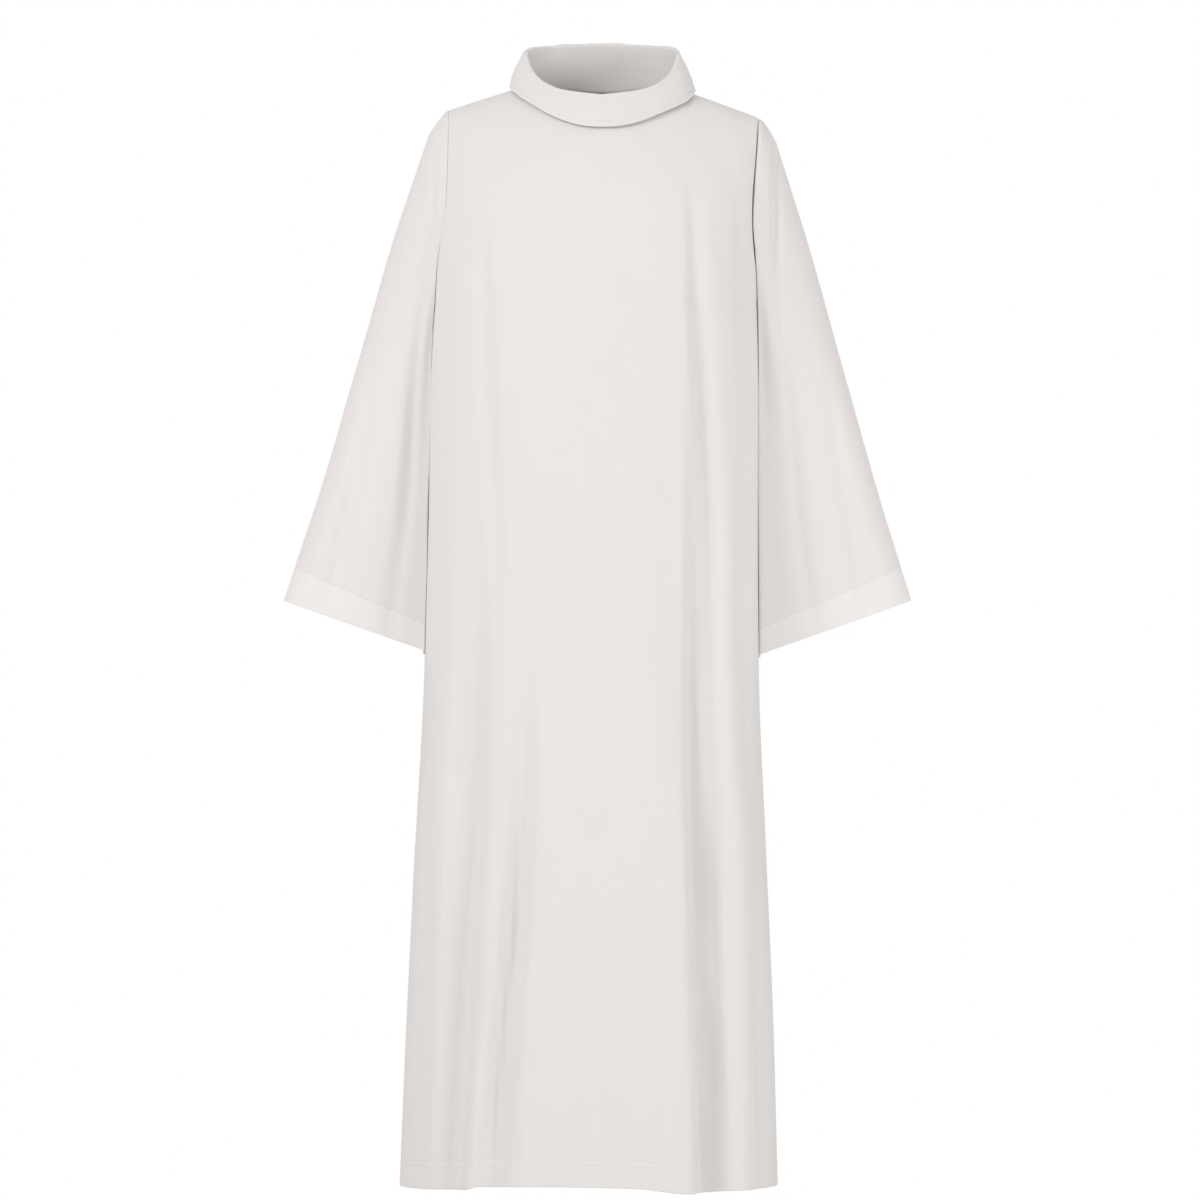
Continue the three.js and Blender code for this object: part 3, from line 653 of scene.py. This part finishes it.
def finished_sleeve(sleeve):
    grid, down, length = sleeve_form(sleeve)
    normals = grid_normals(grid, ring=True)
    free = smoothstep(down, 8, 60)[:, None] * np.ones(SLEEVE_AROUND)
    grid = creased(grid, normals, CREASES[sleeve["name"]], smoothstep(down, 3, 16)[:, None])
    grid = uneven(grid, normals, 0.5 * free, UNEVEN_SEEDS[sleeve["name"]])
    grid = clear_of_body(grid, SLEEVE_CLEAR * np.minimum(down / 16, 1)[:, None])
    normals = grid_normals(grid, ring=True)
    from_armhole = np.broadcast_to(down[:, None], grid.shape[:2])
    grid = turned_in(grid, normals, from_armhole, edge_depth(grid[..., 0]))
    from_stitch = np.abs(from_armhole - (length - CUFF_DEPTH))
    grid = pressed_line(grid, normals, from_stitch)
    band = smoothstep(from_armhole, length - CUFF_DEPTH - 1, length - CUFF_DEPTH + 1)
    cuff_rows = int((down >= length - CUFF_DEPTH - 2.5).sum())
    stitch_row = int(np.argmin(np.abs(down - (length - CUFF_DEPTH))))
    stitch = (grid[stitch_row], grid_normals(grid, ring=True)[stitch_row])
    grid = turned_up(grid, grid_normals(grid, ring=True), cuff_rows)
    double = np.concatenate([band, np.ones((len(grid) - len(band), SLEEVE_AROUND))])
    return grid, double, stitch


# ---- Collar ------------------------------------------------------------------------------------

def collar_form():
    """The collar's showing face: rows from the foot of its stand up over the roll and down the
    fall, columns to the right as seen from outside."""
    edge = resample(neck_edge(), COLLAR_AROUND)
    point, normal, off = edge[:, :3], edge[:, 3:6], edge[:, 6:9]
    outward = np.roll(point, -1, axis=0) - np.roll(point, 1, axis=0)
    outward = unit(np.stack([outward[:, 1], -outward[:, 0], np.zeros(len(point))], axis=1))
    depth = np.where(point[:, 1] < 0, -point[:, 1].min(), point[:, 1].max())
    turn = np.arctan2(point[:, 0] / NECK["half_width"], -point[:, 1] / depth)
    reach = np.where(point[:, 1] < 0, COLLAR["front"], COLLAR["back"])
    rim = curve_through(*zip(*COLLAR_RIM))(np.abs(np.degrees(turn)))
    radius = COLLAR["roll"] / 2 + 2
    roll = np.stack([COLLAR["half_width"] * np.sin(turn), -reach * np.cos(turn), rim - radius], axis=1)
    foot = point + off * SEAM_GAP - outward * 2
    overlap = curve_through(*zip(*COLLAR_OVERLAP))(np.degrees(turn))[:, None]
    hang = point - off * overlap + normal * COLLAR["clear"] + outward * 2
    up = np.array([0, 0, 1.0])
    stand_top, fall_top = roll - outward * radius, roll + outward * radius
    stand = [foot + (stand_top - foot) * t for t in np.linspace(0, 1, 14, endpoint=False)]
    over = [
        roll - outward * radius * math.cos(a) + up * radius * math.sin(a)
        for a in np.linspace(0, np.pi, 12)
    ]
    share = fall_shares()
    fall = [fall_top + (hang - fall_top) * t + outward * (2.2 * math.sin(np.pi * t)) for t in share]
    return np.array(stand + over + fall)


def fall_shares():
    return np.concatenate([np.linspace(0, 0.7, 14)[1:], np.linspace(0.7, 1, 26)[1:]])


def finished_collar():
    grid = collar_form()
    normals = grid_normals(grid, ring=True)
    from_foot = lengths_along(grid, 0)
    from_edge = from_foot[-1:] - from_foot
    turn = np.arctan2(grid[..., 0], -grid[..., 1])
    ripple = sum(wave["height"] * np.sin(wave["count"] * turn + wave["start"]) for wave in COLLAR_RIPPLES)
    on_fall = smoothstep(from_foot, 30, 60) * smoothstep(from_edge, 0, 12)
    grid = grid + normals * (ripple * on_fall)[..., None]
    normals = grid_normals(grid, ring=True)
    grid = pressed_line(grid, normals, np.abs(from_edge - COLLAR_STITCH), depth=0.6, width=2.4)
    grid = turned_in(grid, normals, from_foot, EDGE_TURN_IN["level"])
    stitch_row = int(np.argmin(np.abs(from_edge.mean(axis=1) - COLLAR_STITCH)))
    stitch = (grid[stitch_row], grid_normals(grid, ring=True)[stitch_row])
    folded = turned_up(grid, grid_normals(grid, ring=True), len(grid) - stitch_row + 1)
    return folded, np.ones(folded.shape[:2]), stitch


# ---- Stitches ----------------------------------------------------------------------------------

STITCH = dict(length=2.3, pitch=3.1, width=0.42, rise=0.12)


def stitch_row(name, points, normals, closed):
    """One row of thread: a stitch is shaped once and laid along the line."""
    deselect_all()
    bpy.ops.mesh.primitive_uv_sphere_add(segments=6, ring_count=4, radius=0.5)
    model = bpy.context.object
    bpy.ops.object.mode_set(mode="EDIT")
    bpy.ops.transform.resize(value=(STITCH["length"], STITCH["width"], STITCH["width"]))
    bpy.ops.object.mode_set(mode="OBJECT")
    shape = np.array([v.co for v in model.data.vertices])
    sides = [list(p.vertices) for p in model.data.polygons]
    bpy.data.objects.remove(model, do_unlink=True)
    line = np.concatenate([points, normals], axis=1)
    if closed:
        line = np.concatenate([line, line[:1]])
    length = np.concatenate([[0], np.cumsum(np.linalg.norm(np.diff(line[:, :3], axis=0), axis=1))])
    count = int(length[-1] / STITCH["pitch"])
    where = (np.arange(count) + 0.5) * length[-1] / count
    at = np.stack([np.interp(where, length, line[:, k]) for k in range(6)], axis=1)
    ahead = np.stack([np.interp(where + 0.6, length, line[:, k]) for k in range(3)], axis=1)
    along = unit(ahead - at[:, :3])
    out = unit(at[:, 3:6] - along * (at[:, 3:6] * along).sum(axis=1, keepdims=True))
    across = np.cross(out, along)
    place = at[:, :3] + out * STITCH["rise"]
    laid = (
        place[:, None]
        + along[:, None] * shape[None, :, :1]
        + across[:, None] * shape[None, :, 1:2]
        + out[:, None] * shape[None, :, 2:3]
    )
    faces = [[i * len(shape) + v for v in side] for i in range(count) for side in sides]
    return add_mesh(name, laid.reshape(-1, 3), faces)


# ---- Materials ---------------------------------------------------------------------------------

class Link:
    """A socket of a shader that takes part in sums."""

    def __init__(self, tree, socket):
        self.tree, self.socket = tree, socket

    def joined(self, operation, *others):
        node = self.tree.nodes.new("ShaderNodeMath")
        node.operation = operation
        for place, value in enumerate((self, *others)):
            if isinstance(value, Link):
                self.tree.links.new(value.socket, node.inputs[place])
            else:
                node.inputs[place].default_value = value
        return Link(self.tree, node.outputs[0])

    def __add__(self, other):
        return self.joined("ADD", other)

    __radd__ = __add__

    def __mul__(self, other):
        return self.joined("MULTIPLY", other)

    __rmul__ = __mul__

    def __sub__(self, other):
        return self.joined("SUBTRACT", other)

    def sine(self):
        return self.joined("SINE")

    def between(self, low, high):
        share = self.joined("SUBTRACT", low).joined("DIVIDE", high - low)
        return share.joined("MAXIMUM", 0).joined("MINIMUM", 1)


class Finish:
    """A material and the nodes it is made of. Sockets are given by name, or by number as _0."""

    def __init__(self, name):
        self.material = bpy.data.materials.new(name)
        self.material.use_nodes = True
        self.tree = self.material.node_tree
        self.shader = self.tree.nodes["Principled BSDF"]

    def node(self, kind, settings=None, output=0, **sockets):
        made = self.tree.nodes.new("ShaderNode" + kind)
        for key, value in (settings or {}).items():
            setattr(made, key, value)
        for key, value in sockets.items():
            self.give(made, int(key[1:]) if key[0] == "_" else key, value)
        return Link(self.tree, made.outputs[output])

    def give(self, node, key, value):
        socket = node.inputs[key if isinstance(key, int) else key.replace("_", " ")]
        if isinstance(value, Link):
            self.tree.links.new(value.socket, socket)
        else:
            socket.default_value = value

    def set(self, **sockets):
        for key, value in sockets.items():
            self.give(self.shader, key, value)


def mixed(finish, factor, first, second):
    return finish.node("Mix", dict(data_type="RGBA"), 2, _0=factor, _6=first, _7=second)


def darker(finish, tone, factor):
    return finish.node("VectorMath", dict(operation="MULTIPLY"), 0, _0=tone, _1=(factor, factor, factor))


THREAD_SPACING = dict(across=0.0011, down=0.0012)
RELIEF = dict(threads=0.00012, soft=0.0006)


def crepe(name, plain, double):
    """Fine crepe: pebbly crossed threads, a little colour change that paints shade where their relief is
    low, and a soft sheen.
    """
    finish = Finish(name)
    cloth = finish.node("UVMap", dict(uv_map="Cloth"))
    across = finish.node("SeparateXYZ", None, 0, Vector=cloth)
    down = finish.node("SeparateXYZ", None, 1, Vector=cloth)
    wander = finish.node("TexNoise", None, 0, Vector=cloth, Scale=420.0, Detail=2.0, Roughness=0.6)
    warp = (across * (2 * math.pi / THREAD_SPACING["across"]) + wander * 5).sine()
    weft = (down * (2 * math.pi / THREAD_SPACING["down"]) + wander * 6).sine()
    threads = (warp + weft) * 0.25 + 0.5
    pebble = finish.node("TexNoise", None, 0, Vector=cloth, Scale=900.0, Detail=3.0, Roughness=0.65)
    soft = finish.node("TexNoise", None, 0, Vector=cloth, Scale=22.0, Detail=3.0, Roughness=0.5)
    relief = threads * 0.35 + pebble * 0.65
    folded = finish.node("Attribute", dict(attribute_name="Double"), 2)
    tone = mixed(finish, folded, plain, double)
    # Painted shade: the tone is darker where the relief of threads, pebbles and broad noise is low, in the
    # hollows of the bump, and lighter on its tops.
    shade = (relief - 0.5) * 0.10 + (soft - 0.5) * 0.05
    tone = mixed(finish, (shade + 0.06).between(0, 0.12), darker(finish, tone, 0.965), tone)
    height = relief * RELIEF["threads"] + soft * RELIEF["soft"]
    bump_node = finish.node("Bump", None, 0, Strength=0.55, Distance=1.0, Height=height)
    finish.set(
        Base_Color=tone, Normal=bump_node, Roughness=(soft * 0.08 + 0.80),
        Specular_IOR_Level=0.25, Sheen_Weight=0.12, Sheen_Roughness=0.5,
    )
    finish.shader.inputs["Sheen Tint"].default_value = (1, 0.97, 0.95, 1)
    return finish.material


def thread(name, colour):
    finish = Finish(name)
    place = finish.node("TexCoord", None, 3)
    twist = finish.node("TexNoise", None, 0, Vector=place, Scale=2500.0, Detail=2.0)
    tone = mixed(finish, twist, tuple(c * 0.9 for c in colour[:3]) + (1,), colour)
    finish.set(Base_Color=tone, Roughness=0.6, Sheen_Weight=0.1)
    return finish.material


# ---- Build -------------------------------------------------------------------------------------

front_form, back_form = panel_form("front"), panel_form("back")
front_grid, front_double = finished_panel("front", front_form)
back_grid, back_double = finished_panel("back", back_form)

body_crepe = crepe("Ivory crepe, body", (0.79, 0.757, 0.735, 1), (0.796, 0.763, 0.74, 1))
sleeve_crepe = crepe("Ivory crepe, sleeves", (0.80, 0.76, 0.742, 1), (0.835, 0.798, 0.782, 1))
collar_crepe = crepe("Ivory crepe, collar", (0.79, 0.757, 0.738, 1), (0.79, 0.757, 0.738, 1))
ivory_thread = thread("Ivory thread", (0.80, 0.765, 0.74, 1))

PANEL_NODES = {
    panel: [f"{panel}_{part}" for part in ("upper", "middle", "lower")]
    for panel in ("front", "back")
}


def dress(piece, slot, material, *nodes):
    piece.data.materials.append(material)
    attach(piece, "root")
    if nodes:
        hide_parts(*nodes)


def hem_stitches(name, grid, form):
    rows = len(form)
    row = int(np.argmin(np.abs(grid[:rows, grid.shape[1] // 2, 2] - (HEM + HEM_DEPTH))))
    piece = stitch_row(name, grid[row, 4:-4], grid_normals(grid[:rows])[row, 4:-4], False)
    dress(piece, "body_cloth", ivory_thread)
    return piece


for panel, name, grid, double, form in (
    ("front", "Front", front_grid, front_double, front_form),
    ("back", "Back", back_grid, back_double, back_form),
):
    piece = cloth_piece(name, grid, double)
    dress(piece, "body_cloth", body_crepe, *PANEL_NODES[panel])
    hem_stitches("HemStitches_" + panel, grid, form)

for sleeve in SLEEVES:
    grid, double, stitch = finished_sleeve(sleeve)
    side = sleeve["name"].split("_")[1]
    piece = cloth_piece("Sleeve_" + side, grid, double, ring=True)
    dress(piece, "sleeve_cloth", sleeve_crepe, sleeve["name"])
    thread_row = stitch_row("CuffStitches_" + side, *stitch, True)
    dress(thread_row, "sleeve_cloth", ivory_thread)

collar_grid, collar_double, collar_stitch = finished_collar()
collar = cloth_piece("Collar", collar_grid, collar_double, ring=True)
dress(collar, "collar_cloth", collar_crepe, "collar")
collar_thread = stitch_row("CollarStitches", *collar_stitch, True)
dress(collar_thread, "collar_cloth", ivory_thread)


# ---- Scene -------------------------------------------------------------------------------------

def split_for_camera(tree, lit, seen, output):
    """The camera sees one shader, and the light on the robe comes from the other."""
    choice = tree.nodes.new("ShaderNodeMixShader")
    from_camera = tree.nodes.new("ShaderNodeLightPath").outputs["Is Camera Ray"]
    for socket, source in enumerate((from_camera, lit.outputs[0], seen.outputs[0])):
        tree.links.new(source, choice.inputs[socket])
    tree.links.new(choice.outputs[0], output.inputs["Surface"])


bpy.context.scene.view_settings.view_transform = "Standard"

camera_data = bpy.data.cameras.new("Camera")
camera = bpy.data.objects.new("Camera", camera_data)
bpy.context.collection.objects.link(camera)
bpy.context.scene.camera = camera
DISTANCE = 14.0
FRAME_HEIGHT = 1.584     # of what the camera takes in at the robe
SENSOR = 36
camera_data.sensor_width = SENSOR
camera_data.lens = SENSOR * DISTANCE / FRAME_HEIGHT
camera.location = (-0.0026, -DISTANCE, -0.668)
camera.rotation_euler = (math.radians(90), 0, 0)

bpy.ops.mesh.primitive_plane_add(size=40, location=(0, 0, HEM * MM - 0.06))
floor = bpy.context.object
floor.name = "Floor"
paper = Finish("White studio floor")
paper.set(Base_Color=(0.93, 0.93, 0.925, 1), Roughness=0.9)
floor.data.materials.append(paper.material)
shown = paper.tree.nodes.new("ShaderNodeEmission")
split_for_camera(paper.tree, paper.shader, shown, paper.tree.nodes["Material Output"])

LOOKED_AT = Vector((0, 0, -0.7))
for lamp in (
    dict(name="Key", place=(-3.8, -3.4, 2.4), power=128, size=2.2),
    dict(name="Fill", place=(4.0, -3.7, -0.8), power=104, size=2.4),
    dict(name="Top", place=(0.6, 0.4, 3.0), power=6, size=1.6),
):
    light_data = bpy.data.lights.new(lamp["name"], "AREA")
    light_data.energy = lamp["power"]
    light_data.size = lamp["size"]
    light = bpy.data.objects.new(lamp["name"], light_data)
    bpy.context.collection.objects.link(light)
    light.location = lamp["place"]
    light.rotation_euler = (LOOKED_AT - Vector(lamp["place"])).to_track_quat("-Z", "Y").to_euler()

world = bpy.data.worlds.new("Studio")
bpy.context.scene.world = world
world.use_nodes = True
sky = world.node_tree
sky.nodes["Background"].inputs["Color"].default_value = (1, 1, 1, 1)
sky.nodes["Background"].inputs["Strength"].default_value = 0.56
seen = sky.nodes.new("ShaderNodeBackground")
seen.inputs["Color"].default_value = (1, 1, 1, 1)
seen.inputs["Strength"].default_value = 1.0
split_for_camera(sky, sky.nodes["Background"], seen, sky.nodes["World Output"])
